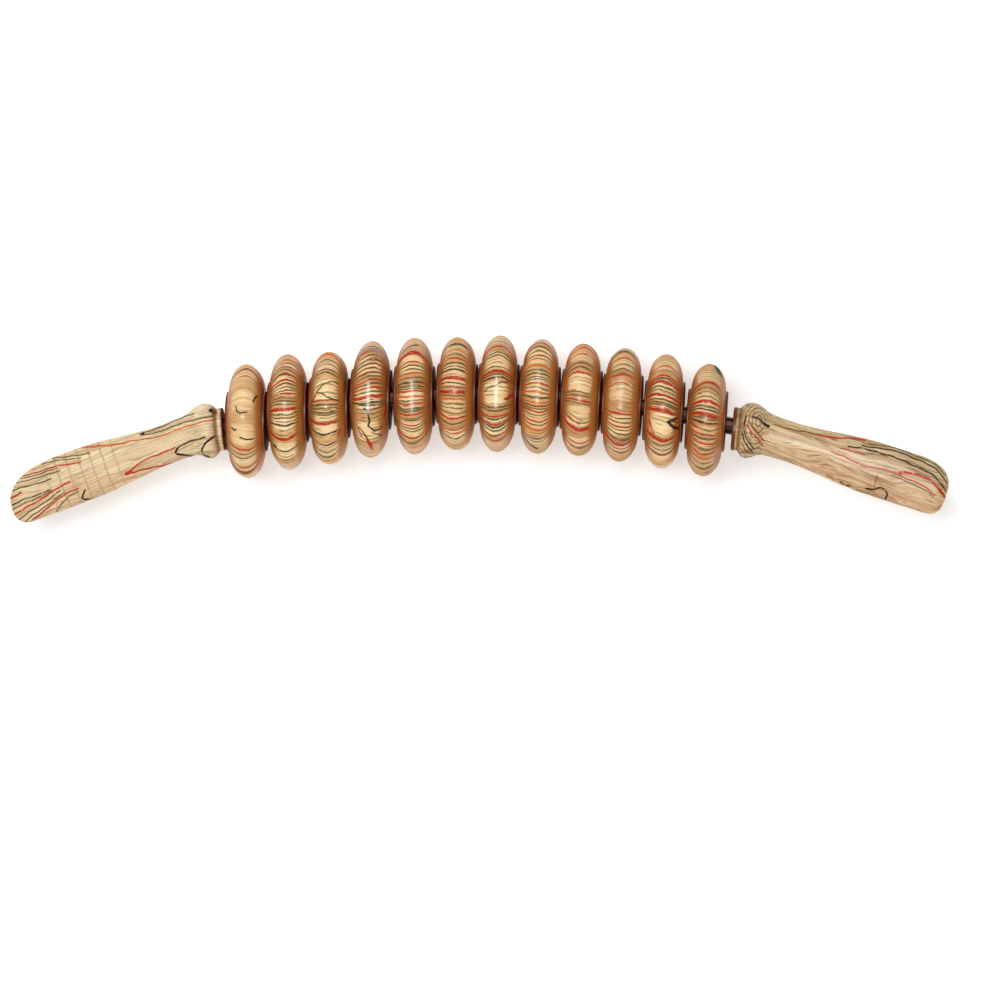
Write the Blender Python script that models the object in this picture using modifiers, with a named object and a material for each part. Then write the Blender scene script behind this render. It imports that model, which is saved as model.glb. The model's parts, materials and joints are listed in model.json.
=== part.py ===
"""Curved wooden foot massage roller.

Twelve ten-sided wooden wheels turn loosely on a bent steel rod, whose straight
ends are pinned into two carved wooden handles. Metres, +Z up. The roller lies on
its wheels with the bend of the rod in the XY plane: X runs along the roller, and
the bend bulges towards +Y. The origin is under the middle of the whole roller.
"""

from math import cos, pi, radians, sin, sqrt

import bmesh
import bpy
import numpy as np
from mathutils import Matrix, Vector

MM = 0.001
GAP = 0.3 * MM                    # left between touching pieces

# Rod: an arc with straight tangent ends
ROD_RADIUS = 4.0 * MM
BEND_RADIUS = 466.0 * MM          # to the rod's centre line
ARC_MIDDLE = Vector((0.24 * MM, 16.43 * MM))    # top of the arc, seen from above
ROD_END_ANGLE = radians(14.72)    # where the arc turns into the straight ends
ROD_SOCKET_DEPTH = 42.0 * MM      # straight length held inside a handle
ARC_STEPS = 22

# Wheels
WHEEL_PITCH = 19.6 * MM           # between wheel centres, along X
WHEEL_SIDES = 10                  # flats round the tread
RIDGE_RADIUS = 27.7 * MM          # from the axis to the ridges between the flats
LAND_HALF_WIDTH = 1.8 * MM        # half the width of the flat crown
RIM_ROOT_RADIUS = 14.6 * MM       # centre of the rim's elliptical section
RIM_HALF_WIDTH = 8.1 * MM
HUB_RADIUS = 14.2 * MM
HUB_HALF_WIDTH = 9.35 * MM
HUB_CHAMFER = 0.6 * MM
BORE_RADIUS = 7.2 * MM            # loose enough for a straight wheel on the bent rod
AXIS_HEIGHT = RIDGE_RADIUS        # the rod's centre line above the floor

# How each loose wheel sits on the rod: its turn about its own axis and its lean
# in the plane of the bend (degrees), and its slide along X and drop towards -Y (mm)
WHEEL_SEATS = (
    (14, 0.1, -0.8, 0.1),
    (9, -0.1, -0.9, 0.0),
    (18, 0.1, -1.0, 1.5),
    (0, 1.3, -1.1, 0.0),
    (3, 0.3, -0.3, 0.2),
    (17, 1.4, 0.1, 0.0),
    (0, 2.1, -0.1, 0.0),
    (-10, 2.4, -0.4, 0.4),
    (18, 3.4, -0.5, 0.5),
    (-13, 3.3, -0.9, 0.3),
    (14, 3.5, -1.0, 0.2),
    (18, 4.3, -0.7, 0.1),
)

# Handles: a turned collar that runs into a flattened grip
COLLAR_STATIONS = (               # along the spine, radius (mm)
    (0.0, 9.6), (0.4, 10.1), (2.2, 10.1), (3.0, 9.8), (3.8, 10.9), (5.6, 12.6), (8.2, 13.3),
    (11.2, 12.4), (14.0, 10.7), (17.0, 9.7), (24.0, 9.4),
)
NECK_RADIUS = 9.4 * MM
GRIP_START = 27.0 * MM            # the neck ends and the grip widens from here
GRIP_FULL = 70.0 * MM             # and has its full width from here
GRIP_HALF_WIDTH = 12.6 * MM
SPINE_CURVE_LENGTH = 21.0 * MM    # the spine turns from the collar's lean to the grip's
GRIP_SQUARENESS = 2.4             # exponent of the grip's section; 2 is an ellipse
SECTION_POINTS = 16
HANDLES = {
    "left": {
        "side": -1,
        "face": Vector((-119.3 * MM, -16.5 * MM)),   # collar face, from the arc's middle
        "collar_lean": 5.0,
        "grip_lean": 20.0,
        "length": 107.8 * MM,
        "tip_offset": -4.7 * MM,  # the tip's point, across the spine
        "convex_corner": (77.0 * MM, 2.4),           # where rounding starts, exponent
        "concave_corner": (100.0 * MM, 2.2),
        "grip_half_depth": 8.6 * MM,
        "tip_half_depth": 4.2 * MM,
    },
    "right": {
        "side": 1,
        "face": Vector((119.2 * MM, -16.5 * MM)),
        "collar_lean": 5.0,
        "grip_lean": 17.8,
        "length": 104.9 * MM,
        "tip_offset": -1.5 * MM,
        "convex_corner": (84.0 * MM, 2.8),
        "concave_corner": (94.0 * MM, 3.4),
        "grip_half_depth": 9.0 * MM,
        "tip_half_depth": 7.0 * MM,
    },
}

# Cross pins that lock the rod in the handles, driven from underneath
PIN_RADIUS = 1.5 * MM
PIN_DISTANCE = 30.0 * MM          # along the straight rod end from where it starts
PIN_BELOW = 7.6 * MM              # ends of the pin below and above the rod's centre line
PIN_ABOVE = 6.4 * MM

WOOD_TAN = (0.78, 0.55, 0.31, 1.0)
WOOD_CREAM = (0.80, 0.63, 0.43, 1.0)
STEEL_GREY = (0.45, 0.45, 0.46, 1.0)


def clear_scene():
    for obj in list(bpy.data.objects):
        bpy.data.objects.remove(obj, do_unlink=True)


def new_collection(name, helper=False):
    made = bpy.data.collections.new(name)
    bpy.context.scene.collection.children.link(made)
    made.hide_render = helper
    return made


def principled(name, color, roughness, metallic=0.0):
    made = bpy.data.materials.new(name)
    made.use_nodes = True
    shader = made.node_tree.nodes["Principled BSDF"]
    shader.inputs["Base Color"].default_value = color
    shader.inputs["Roughness"].default_value = roughness
    shader.inputs["Metallic"].default_value = metallic
    made.diffuse_color = color
    return made


def add_object(name, data, collection, material=None):
    made = bpy.data.objects.new(name, data)
    collection.objects.link(made)
    if material is not None:
        data.materials.clear()
        data.materials.append(material)
    return made


def evaluated_mesh(obj, name):
    """The object's mesh with its modifiers applied and its seams welded."""
    bpy.context.view_layer.update()
    graph = bpy.context.evaluated_depsgraph_get()
    mesh = bpy.data.meshes.new_from_object(obj.evaluated_get(graph))
    mesh.name = name
    work = bmesh.new()
    work.from_mesh(mesh)
    bmesh.ops.remove_doubles(work, verts=work.verts, dist=1e-6)
    work.to_mesh(mesh)
    work.free()
    return mesh


def shade_round(mesh, sharp_angle):
    mesh.shade_smooth()
    mesh.set_sharp_from_angle(angle=radians(sharp_angle))


def lathe(name, profile, steps, collection):
    """A closed profile of (radius, height) points turned round the Z axis."""
    mesh = bpy.data.meshes.new(name)
    points = [(radius, 0.0, height) for radius, height in profile]
    edges = [(i, i + 1) for i in range(len(points) - 1)]
    mesh.from_pydata(points, edges, [])
    made = add_object(name, mesh, collection)
    screw = made.modifiers.new("turn", "SCREW")
    screw.steps = steps
    screw.render_steps = steps
    screw.use_merge_vertices = True
    screw.merge_threshold = 1e-6
    screw.use_smooth_shade = False
    return made


def cylinder(name, radius, low, high, sides, collection):
    """A cylinder along Z between two heights."""
    bpy.ops.mesh.primitive_cylinder_add(vertices=sides, radius=radius, depth=high - low,
                                        location=(0.0, 0.0, (low + high) / 2))
    made = bpy.context.object
    made.name = name
    bpy.ops.object.transform_apply(location=True, rotation=False, scale=False)
    for owner in list(made.users_collection):
        owner.objects.unlink(made)
    collection.objects.link(made)
    made.hide_render = True
    made.display_type = "WIRE"
    return made


def boolean(obj, other, operation):
    cut = obj.modifiers.new(f"{operation.lower()} {other.name}", "BOOLEAN")
    cut.operation = operation
    cut.solver = "EXACT"
    cut.object = other


def arc_point(x):
    """The rod's centre line over a distance x from the arc's middle, in XY."""
    return ARC_MIDDLE + Vector((x, sqrt(BEND_RADIUS**2 - x * x) - BEND_RADIUS))


def at_height(point):
    return Vector((point.x, point.y, AXIS_HEIGHT))


# Wheels ---------------------------------------------------------------------

def rim_profile():
    """(radius, height) down the outside of the rim: half an ellipse with a flat crown."""
    depth = RIDGE_RADIUS - RIM_ROOT_RADIUS
    flank = [(RIM_ROOT_RADIUS + depth * sin(radians(angle)), RIM_HALF_WIDTH * cos(radians(angle)))
             for angle in (4, 18, 34, 50, 65)]
    upper = [(0.0, flank[0][1]), *flank, (RIDGE_RADIUS, LAND_HALF_WIDTH)]
    return upper + [(radius, -height) for radius, height in reversed(upper)]


def hub_profile():
    inner = HUB_RADIUS - HUB_CHAMFER
    low = HUB_HALF_WIDTH - HUB_CHAMFER
    upper = [(0.0, HUB_HALF_WIDTH), (inner, HUB_HALF_WIDTH), (HUB_RADIUS, low)]
    return upper + [(radius, -height) for radius, height in reversed(upper)]


def wheel_mesh(helpers):
    """One wheel about the X axis, with a flat facing +Z: ten-sided rim, round hub, bore."""
    rim = lathe("wheel_blank", rim_profile(), WHEEL_SIDES, helpers)
    hub = lathe("hub_blank", hub_profile(), 24, helpers)
    bore = cylinder("wheel_bore_cutter", BORE_RADIUS, -2 * HUB_HALF_WIDTH, 2 * HUB_HALF_WIDTH,
                    20, helpers)
    boolean(rim, hub, "UNION")
    boolean(rim, bore, "DIFFERENCE")
    mesh = evaluated_mesh(rim, "massage_wheel")
    to_x_axis = Matrix.Rotation(radians(90), 4, "Y")
    flat_up = Matrix.Rotation(pi / WHEEL_SIDES, 4, "X")
    mesh.transform(flat_up @ to_x_axis)
    shade_round(mesh, 25)
    for blank in (rim, hub):
        blank.hide_render = True
        blank.display_type = "WIRE"
    return mesh


def add_wheels(roller, helpers, wood):
    mesh = wheel_mesh(helpers)
    mesh.materials.append(wood)
    for i, (turn, lean, slide, drop) in enumerate(WHEEL_SEATS):
        x = (i - (len(WHEEL_SEATS) - 1) / 2) * WHEEL_PITCH + slide * MM
        wheel = bpy.data.objects.new(f"wheel_{i + 1:02d}", mesh)
        roller.objects.link(wheel)
        wheel.location = at_height(arc_point(x)) - Vector((0.0, drop * MM, 0.0))
        wheel.rotation_euler = (radians(turn), 0.0, -radians(lean))


# Rod ------------------------------------------------------------------------

def rod_end(side):
    """Where the arc ends on one side, and the direction of the straight end there."""
    start = arc_point(side * BEND_RADIUS * sin(ROD_END_ANGLE))
    return start, Vector((side * cos(ROD_END_ANGLE), -sin(ROD_END_ANGLE)))


def rod_path():
    points = []
    for i in range(ARC_STEPS + 1):
        angle = ROD_END_ANGLE * (2 * i / ARC_STEPS - 1)
        points.append(arc_point(BEND_RADIUS * sin(angle)))
    for side in (-1, 1):
        start, along = rod_end(side)
        points.insert(0 if side < 0 else len(points), start + along * ROD_SOCKET_DEPTH)
    return [at_height(point) for point in points]


def add_rod(roller, helpers, steel):
    curve = bpy.data.curves.new("rod_centre_line", "CURVE")
    curve.dimensions = "3D"
    curve.bevel_depth = ROD_RADIUS
    curve.bevel_resolution = 4
    curve.use_fill_caps = True
    spline = curve.splines.new("POLY")
    path = rod_path()
    spline.points.add(len(path) - 1)
    for point, place in zip(spline.points, path):
        point.co = (*place, 1.0)
    guide = add_object("rod_centre_line", curve, helpers)
    mesh = evaluated_mesh(guide, "axle_rod")
    bpy.data.objects.remove(guide)
    shade_round(mesh, 40)
    rod = add_object("axle_rod", mesh, roller, steel)
    for side in (-1, 1):
        boolean(rod, pin_hole(side, helpers), "DIFFERENCE")


# Cross pins -----------------------------------------------------------------

def pin_place(side):
    start, along = rod_end(side)
    return at_height(start + along * PIN_DISTANCE)


def pin_hole(side, helpers):
    name = f"pin_hole_cutter_{'left' if side < 0 else 'right'}"
    if name in bpy.data.objects:
        return bpy.data.objects[name]
    hole = cylinder(name, PIN_RADIUS + GAP, -AXIS_HEIGHT, PIN_ABOVE + GAP, 16, helpers)
    hole.location = pin_place(side)
    return hole


def add_pins(roller, steel):
    for name, handle in HANDLES.items():
        bpy.ops.mesh.primitive_cylinder_add(vertices=16, radius=PIN_RADIUS,
                                            depth=PIN_BELOW + PIN_ABOVE)
        pin = bpy.context.object
        pin.name = f"{name}_rod_pin"
        for owner in list(pin.users_collection):
            owner.objects.unlink(pin)
        roller.objects.link(pin)
        pin.location = pin_place(handle["side"]) + Vector((0, 0, (PIN_ABOVE - PIN_BELOW) / 2))
        pin.data.materials.append(steel)
        shade_round(pin.data, 40)


# Handles --------------------------------------------------------------------

def smooth_step(t):
    t = np.clip(t, 0.0, 1.0)
    return t * t * (3 - 2 * t)


def grip_stations(length):
    """Distances along the spine: the collar's, then evenly over the grip and closer at the tip."""
    collar = [s * MM for s, _ in COLLAR_STATIONS]
    grip = np.linspace(GRIP_START, length - 24 * MM, 8)
    tip = length - 20 * MM * (1 - np.linspace(0.0, 0.985, 9)) ** 1.6
    return np.concatenate([collar, grip, tip])


def rounded_edge(s, half_width, corner, length, tip_offset):
    """Half width that falls to the tip's point along a superellipse past the corner's start."""
    start, power = corner
    u = np.clip((s - start) / (length - start), 0.0, 1.0)
    return tip_offset + (half_width - tip_offset) * (1 - u**power) ** (1 / power)


def handle_sections(handle):
    """Centre line, lean, half widths on both sides, half depth and squareness at each station."""
    length = handle["length"]
    s = grip_stations(length)
    collar_s, collar_r = (np.array(column) * MM for column in zip(*COLLAR_STATIONS))
    turned = np.interp(s, collar_s, collar_r)
    widening = smooth_step((s - GRIP_START) / (GRIP_FULL - GRIP_START))
    half_width = turned + (GRIP_HALF_WIDTH - NECK_RADIUS) * widening
    half_depth = turned + (handle["grip_half_depth"] - NECK_RADIUS) * widening
    toward_tip = smooth_step((s - GRIP_FULL) / (length - GRIP_FULL))
    half_depth += (handle["tip_half_depth"] - handle["grip_half_depth"]) * toward_tip
    tip_round = np.clip((s - (length - 5 * MM)) / (5 * MM), 0.0, 1.0)
    half_depth *= np.sqrt(1 - 0.9 * tip_round**2)
    offset = handle["tip_offset"]
    convex = rounded_edge(s, half_width, handle["convex_corner"], length, offset)
    concave = rounded_edge(s, half_width, handle["concave_corner"], length, -offset)
    squareness = 2 + (GRIP_SQUARENESS - 2) * widening
    return s, convex, concave, half_depth, squareness


def handle_spine(handle, s):
    """Points along the spine in XY, and the lean of the section at each."""
    fine = np.linspace(0.0, handle["length"], 400)
    lean = handle["collar_lean"] + (handle["grip_lean"] - handle["collar_lean"]) * smooth_step(
        fine / SPINE_CURVE_LENGTH)
    lean = np.radians(lean)
    step = np.diff(fine, prepend=0.0)
    x = handle["face"].x + handle["side"] * np.cumsum(np.cos(lean) * step)
    y = handle["face"].y - np.cumsum(np.sin(lean) * step)
    return np.interp(s, fine, x), np.interp(s, fine, y), np.interp(s, fine, lean)


def handle_mesh(name, handle):
    """A loft of superelliptic sections along the spine, with flat ends."""
    s, convex, concave, half_depth, squareness = handle_sections(handle)
    x, y, lean = handle_spine(handle, s)
    side = handle["side"]
    angle = np.arange(SECTION_POINTS) * 2 * pi / SECTION_POINTS
    power = (2 / squareness)[:, None]
    across = np.sign(np.cos(angle)) * np.abs(np.cos(angle)) ** power
    depth = np.sign(np.sin(angle)) * np.abs(np.sin(angle)) ** power
    middle = (convex - concave) / 2
    half_width = (convex + concave) / 2
    w = middle[:, None] + half_width[:, None] * across
    points = np.stack([
        ARC_MIDDLE.x + x[:, None] + side * np.sin(lean)[:, None] * w,
        ARC_MIDDLE.y + y[:, None] + np.cos(lean)[:, None] * w,
        AXIS_HEIGHT + half_depth[:, None] * depth,
    ], axis=-1)
    rows = len(s)
    work = bmesh.new()
    rings = [[work.verts.new(point) for point in row] for row in points]
    for i in range(rows - 1):
        for j in range(SECTION_POINTS):
            k = (j + 1) % SECTION_POINTS
            work.faces.new((rings[i][j], rings[i][k], rings[i + 1][k], rings[i + 1][j]))
    work.faces.new(rings[0])
    work.faces.new(rings[-1])
    bmesh.ops.recalc_face_normals(work, faces=work.faces)
    mesh = bpy.data.meshes.new(name)
    work.to_mesh(mesh)
    work.free()
    shade_round(mesh, 35)
    return mesh


def socket_cutter(name, handle, helpers):
    """A cylinder along the rod's straight end, open at the collar's face."""
    start, along = rod_end(handle["side"])
    cutter = cylinder(f"{name}_socket_cutter", ROD_RADIUS + GAP, -8 * MM,
                      ROD_SOCKET_DEPTH + GAP, 20, helpers)
    direction = Vector((along.x, along.y, 0.0))
    cutter.rotation_euler = direction.to_track_quat("Z", "Y").to_euler()
    cutter.location = at_height(start)
    return cutter


def add_handles(roller, helpers, wood):
    for name, handle in HANDLES.items():
        made = add_object(f"{name}_handle", handle_mesh(f"{name}_handle", handle), roller, wood)
        boolean(made, socket_cutter(name, handle, helpers), "DIFFERENCE")
        boolean(made, pin_hole(handle["side"], helpers), "DIFFERENCE")


clear_scene()
roller = new_collection("foot_massage_roller")
helpers = new_collection("cutters", helper=True)
wheel_wood = principled("wheel_wood", WOOD_TAN, 0.3)
handle_wood = principled("handle_wood", WOOD_CREAM, 0.35)
steel = principled("steel", STEEL_GREY, 0.3, metallic=1.0)
add_wheels(roller, helpers, wheel_wood)
add_rod(roller, helpers, steel)
add_handles(roller, helpers, handle_wood)
add_pins(roller, steel)
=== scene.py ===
import json
from math import asin, cos, degrees, pi, radians, sin, tan

import bpy
import numpy as np
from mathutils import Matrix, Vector


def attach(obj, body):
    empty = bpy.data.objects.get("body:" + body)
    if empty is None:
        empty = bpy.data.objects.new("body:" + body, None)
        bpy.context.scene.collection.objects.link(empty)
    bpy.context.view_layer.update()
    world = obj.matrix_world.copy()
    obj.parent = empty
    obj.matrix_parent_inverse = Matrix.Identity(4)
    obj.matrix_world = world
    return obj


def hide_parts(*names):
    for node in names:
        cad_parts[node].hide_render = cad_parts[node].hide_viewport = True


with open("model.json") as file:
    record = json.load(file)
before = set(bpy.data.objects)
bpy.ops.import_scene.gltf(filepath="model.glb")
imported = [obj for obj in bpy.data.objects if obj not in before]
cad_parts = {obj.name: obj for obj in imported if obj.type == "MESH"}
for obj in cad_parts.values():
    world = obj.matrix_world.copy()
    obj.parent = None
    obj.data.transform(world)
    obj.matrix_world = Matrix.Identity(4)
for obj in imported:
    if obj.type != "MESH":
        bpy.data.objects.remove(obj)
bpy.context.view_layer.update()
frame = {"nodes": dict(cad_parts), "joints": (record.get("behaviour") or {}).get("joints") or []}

mm = 0.001


# Linear red, green, blue from a colour written as in a paint program.
def linear(hexColour):
    values = [int(hexColour[i:i + 2], 16) / 255 for i in (0, 2, 4)]
    return tuple(v / 12.92 if v <= 0.04045 else ((v + 0.055) / 1.055) ** 2.4 for v in values)


# veneer layers of the coloured wood: their colour and how thick they show (mm)
layerColours = {
    "red": ("ac3014", 0.95),
    "boldRed": ("a81c08", 1.6),
    "orange": ("bf5722", 1.0),
    "brown": ("7c3f1e", 1.05),
    "olive": ("5d4e27", 0.74),
    "darkOlive": ("33281a", 0.92),
    "black": ("100b07", 0.95),
}


# Links a socket, or sets a number, colour or vector on it.
def join(tree, source, socket):
    if isinstance(source, bpy.types.NodeSocket):
        tree.links.new(source, socket)
    else:
        socket.default_value = source


def calc(tree, operation, a, b=0.5, c=0.5, clamp=False):
    node = tree.nodes.new("ShaderNodeMath")
    node.operation = operation
    node.use_clamp = clamp
    for value, socket in zip((a, b, c), node.inputs):
        join(tree, value, socket)
    return node.outputs[0]


def vec(tree, operation, a, b=None, scale=None):
    node = tree.nodes.new("ShaderNodeVectorMath")
    node.operation = operation
    join(tree, a, node.inputs[0])
    if b is not None:
        join(tree, b, node.inputs[1])
    if scale is not None:
        join(tree, scale, node.inputs["Scale"])
    return node.outputs["Value"] if operation in ("LENGTH", "DISTANCE", "DOT_PRODUCT") else node.outputs[0]


def combine(tree, x, y, z):
    node = tree.nodes.new("ShaderNodeCombineXYZ")
    for value, socket in zip((x, y, z), node.inputs):
        join(tree, value, socket)
    return node.outputs[0]


def noise(tree, vector, scale, detail=2.0, roughness=0.5):
    node = tree.nodes.new("ShaderNodeTexNoise")
    join(tree, vector, node.inputs["Vector"])
    node.inputs["Scale"].default_value = scale
    node.inputs["Detail"].default_value = detail
    node.inputs["Roughness"].default_value = roughness
    return node.outputs[0]


# Eases from to0 at low to to1 at high.
def between(tree, value, low, high, to0=0.0, to1=1.0):
    node = tree.nodes.new("ShaderNodeMapRange")
    node.interpolation_type = "SMOOTHSTEP"
    for source, socket in zip((value, low, high, to0, to1), node.inputs):
        join(tree, source, socket)
    return node.outputs[0]


def mix(tree, factor, a, b, blend="MIX"):
    node = tree.nodes.new("ShaderNodeMix")
    node.data_type = "RGBA"
    node.blend_type = blend
    join(tree, factor, node.inputs[0])
    for value, socket in ((a, node.inputs[6]), (b, node.inputs[7])):
        join(tree, (*value, 1.0) if isinstance(value, tuple) and len(value) == 3 else value, socket)
    return node.outputs[2]


def readPlace(tree, name):
    node = tree.nodes.new("ShaderNodeAttribute")
    node.attribute_name = name
    split = tree.nodes.new("ShaderNodeSeparateXYZ")
    tree.links.new(node.outputs["Vector"], split.inputs[0])
    return node.outputs["Vector"], split.outputs[0], split.outputs[1], split.outputs[2]


def newMaterial(name):
    material = bpy.data.materials.new(name)
    material.use_nodes = True
    tree = material.node_tree
    return material, tree, tree.nodes["Principled BSDF"]


# relief: how strongly the grain stands up under the lacquer, and how deep it is
lacquerLook = {"coatRoughness": 0.42, "coatIor": 1.3, "woodShine": 0.05, "relief": (0.5, 0.03 * mm)}


# Satin lacquer over wood: a soft coat, and the wood's own bump and uneven shine under it.
def lacquer(tree, shader, colour, height, shine, coat):
    join(tree, colour, shader.inputs["Base Color"])
    join(tree, shine, shader.inputs["Roughness"])
    join(tree, coat, shader.inputs["Coat Weight"])
    shader.inputs["Coat Roughness"].default_value = lacquerLook["coatRoughness"]
    shader.inputs["Coat IOR"].default_value = lacquerLook["coatIor"]
    shader.inputs["Specular IOR Level"].default_value = lacquerLook["woodShine"]
    bump = tree.nodes.new("ShaderNodeBump")
    bump.inputs["Strength"].default_value, bump.inputs["Distance"].default_value = lacquerLook["relief"]
    join(tree, height, bump.inputs["Height"])
    tree.links.new(bump.outputs[0], shader.inputs["Normal"])


# Colour and strength of layer lines: constant steps along position, each at its own place and width. A ramp
# holds 32 steps, so it takes 15 lines.
def layerStripes(tree, position, low, high, lines):
    ordered = sorted((place, width, colour) for place, width, colour in lines)
    found = []
    for first in range(0, len(ordered), 15):
        ramp = tree.nodes.new("ShaderNodeValToRGB")
        ramp.color_ramp.interpolation = "CONSTANT"
        steps = ramp.color_ramp.elements
        steps.remove(steps[1])
        steps[0].position = 0.0
        steps[0].color = (*ordered[first][2], 0.0)
        edge = 0.0
        for place, width, colour in ordered[first:first + 15]:
            start = max((place - width / 2 - low) / (high - low), edge + 1e-4)
            edge = max((place + width / 2 - low) / (high - low), start + 1e-4)
            steps.new(start).color = (*colour, 1.0)
            steps.new(edge).color = (*colour, 0.0)
        tree.links.new(position, ramp.inputs[0])
        found.append((ramp.outputs[0], ramp.outputs[1]))
    return found


# 1 within half a width of the line through the points: the least distance to its straight parts.
def strokeMask(tree, place, points, width):
    nearest = None
    for (x0, y0), (x1, y1) in zip(points[:-1], points[1:]):
        start = Vector((x0, y0, 0.0))
        run = Vector((x1 - x0, y1 - y0, 0.0))
        away = vec(tree, "SUBTRACT", place, start)
        share = vec(tree, "DOT_PRODUCT", away, run / run.length_squared)
        share = calc(tree, "MULTIPLY", share, 1.0, clamp=True)
        distance = vec(tree, "DISTANCE", away, vec(tree, "SCALE", run, scale=share))
        nearest = distance if nearest is None else calc(tree, "MINIMUM", nearest, distance)
    return between(tree, nearest, width * 0.5 + 0.1, max(width * 0.5 - 0.14, 0.0))


# A grid of rows by columns as a mesh; columns always close, rows close if asked, and a pole is a row (0
# or -1) drawn together into one point.
def surfaceMesh(name, points, places, attribute, closedRows, poles=()):
    rows, columns = points.shape[:2]
    index = np.arange(rows * columns).reshape(rows, columns)
    below = index if closedRows else index[:-1]
    above = np.roll(index, -1, axis=0) if closedRows else index[1:]
    quads = np.stack([below, np.roll(below, -1, 1), np.roll(above, -1, 1), above], axis=-1).reshape(-1, 4)
    flat = points.reshape(-1, 3)
    flatPlaces = places.reshape(-1, 3)
    faces = quads.tolist()
    for row in poles:
        middle = len(flat)
        ring = index[row]
        flat = np.concatenate([flat, flat[ring].mean(0)[None]])
        flatPlaces = np.concatenate([flatPlaces, flatPlaces[ring].mean(0)[None]])
        after = np.roll(ring, -1)
        fan = (ring, after) if row == -1 else (after, ring)
        faces += np.stack([fan[0], fan[1], np.full(columns, middle)], axis=-1).tolist()
    mesh = bpy.data.meshes.new(name)
    mesh.from_pydata(flat.tolist(), [], faces)
    stored = mesh.attributes.new(attribute, "FLOAT_VECTOR", "POINT")
    stored.data.foreach_set("vector", flatPlaces.astype(np.float32).ravel())
    mesh.shade_smooth()
    mesh.update()
    if signedVolume(mesh) < 0:
        mesh.flip_normals()
    return mesh


# Sum over triangles of a . (b x c) / 6: positive when faces point outwards.
def signedVolume(mesh):
    mesh.calc_loop_triangles()
    corners = np.empty(len(mesh.loop_triangles) * 3, np.int32)
    mesh.loop_triangles.foreach_get("vertices", corners)
    co = np.empty(len(mesh.vertices) * 3)
    mesh.vertices.foreach_get("co", co)
    a, b, c = co.reshape(-1, 3)[corners.reshape(-1, 3)].transpose(1, 0, 2)
    return (a * np.cross(b, c)).sum() / 6


def addPiece(name, mesh, material, body, node):
    piece = bpy.data.objects.new(name, mesh)
    bpy.context.scene.collection.objects.link(piece)
    mesh.materials.append(material)
    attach(piece, body)
    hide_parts(node)
    return piece


def smoothStep(t):
    t = np.clip(t, 0.0, 1.0)
    return t * t * (3 - 2 * t)


wheelShape = {
    "sides": 10, "ridge": 27.7, "tread": 27.1, "rimRoot": 14.6, "rimHalf": 8.1,
    "rimSquareness": 1.95, "hub": 14.2, "hubHalf": 9.35, "hubChamfer": 0.7, "bore": 7.2, "boreChamfer": 0.4,
    "ridgeSharpness": 64, "stepsAround": 260, "stepsAcross": 56,
}

# tones of the wheels' wood, the half size of a pale patch on a flat (degrees, mm), and the pitch of the
# faint layers (degrees). The flank tone is partly end grain, partly painted shade; the side, hub and
# darkest tones are painted shade.
wheelTones = {
    "flat": ("dcb47e", "ecd2a0"), "flank": "b26526", "paintedSideShade": "b87330", "faintLayer": "6a572c",
    "hub": "7c3d16", "darkestTone": "4c1305", "patch": (11.2, 5.7), "faintPitch": 4.3,
}
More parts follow.
